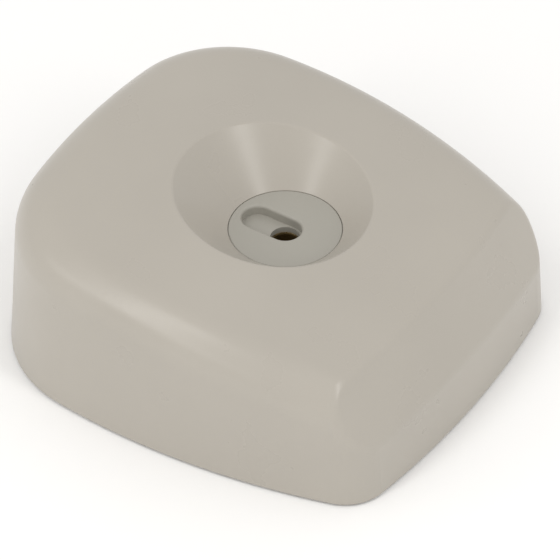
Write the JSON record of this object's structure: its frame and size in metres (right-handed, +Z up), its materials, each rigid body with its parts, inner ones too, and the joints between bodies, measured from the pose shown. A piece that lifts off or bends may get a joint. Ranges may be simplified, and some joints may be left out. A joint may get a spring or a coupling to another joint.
{
  "type": "magnetic tag detacher",
  "caption": "Wedge-shaped counter-top housing with a conical dish, a drop-in nest insert with a nib hole, and a clamped ring-magnet stack that releases hard security tags.",
  "frame": {"origin": "middle of the footprint on the counter, under the feet", "axes": "+Z up, -Y towards the user at the low front edge, +X to the right of a user who faces the low front edge"},
  "size_m": [0.11, 0.1185, 0.0469],
  "materials": {
    "housing_plastic": "warm pale grey moulded ABS with a fine satin texture",
    "insert_plastic": "slightly cooler and more matt grey moulded plastic",
    "stainless": "brushed non-magnetic stainless steel",
    "brass": "turned brass",
    "magnet_plating": "nickel-plated sintered magnet",
    "aluminium": "turned aluminium",
    "soft_steel": "turned low-carbon steel",
    "zinc_steel": "zinc-plated steel",
    "plate_paint": "grey powder-coated sheet steel",
    "rubber": "black moulded rubber"
  },
  "bodies": {
    "housing": {"top_housing": "housing_plastic", "guard_plate": "stainless", "bore_liner": "brass", "inner_ring_magnet": "magnet_plating", "magnet_spacer": "aluminium", "outer_ring_magnet": "magnet_plating", "flux_cup": "soft_steel", "clamp_pad": "rubber", "clamp_strap": "zinc_steel", "clamp_inserts": "brass", "clamp_screws": "zinc_steel", "clamp_washers": "zinc_steel", "base_plate": "plate_paint", "base_screws": "zinc_steel", "counter_nuts": "zinc_steel", "foot_front_left": "rubber", "foot_front_right": "rubber", "foot_rear_left": "rubber", "foot_rear_right": "rubber"},
    "nest_insert": {"nest_insert": "insert_plastic"}
  },
  "joints": [
    {"name": "insert_lift", "type": "slide", "parent": "housing", "child": "nest_insert", "axis": [0, 0, 1], "range_m": [0, 0.025]}
  ]
}
